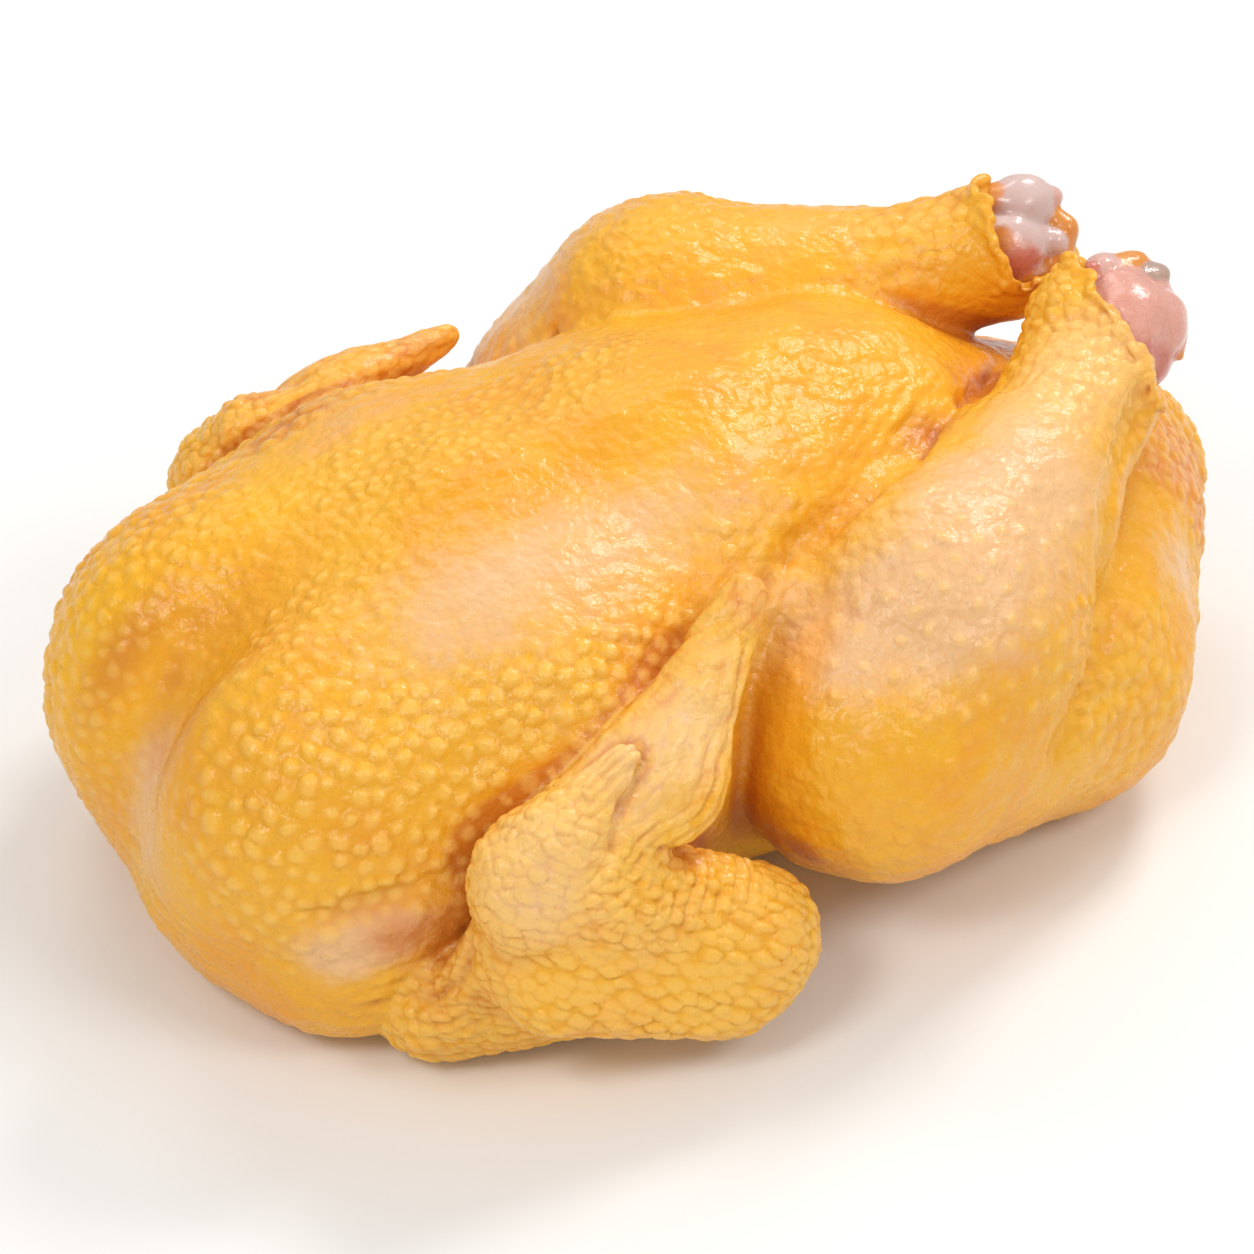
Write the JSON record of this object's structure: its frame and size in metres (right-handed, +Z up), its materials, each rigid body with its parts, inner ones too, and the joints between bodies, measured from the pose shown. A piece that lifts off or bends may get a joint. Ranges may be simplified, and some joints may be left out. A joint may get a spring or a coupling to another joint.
{
  "type": "whole raw chicken",
  "caption": "Whole raw yellow-skinned chicken lying on its back, wings folded, drumsticks drawn back over the vent, with bared joint ends.",
  "frame": {"origin": "centre of the bounding box's bottom face, on the table plane under the bird's back", "axes": "+Z up, breast side; +X along the body towards the tail; -Y the bird's right side"},
  "size_m": [0.286, 0.2106, 0.1161],
  "materials": {
    "skin": "moist yellow poultry skin with raised pimples, paler and smoother on the calves and breast centre",
    "joint": "wet pinkish white cartilage and flesh of the bared leg joint"
  },
  "bodies": {
    "root": {"carcass": "skin", "hock_right": "joint", "hock_left": "joint"}
  },
  "joints": []
}
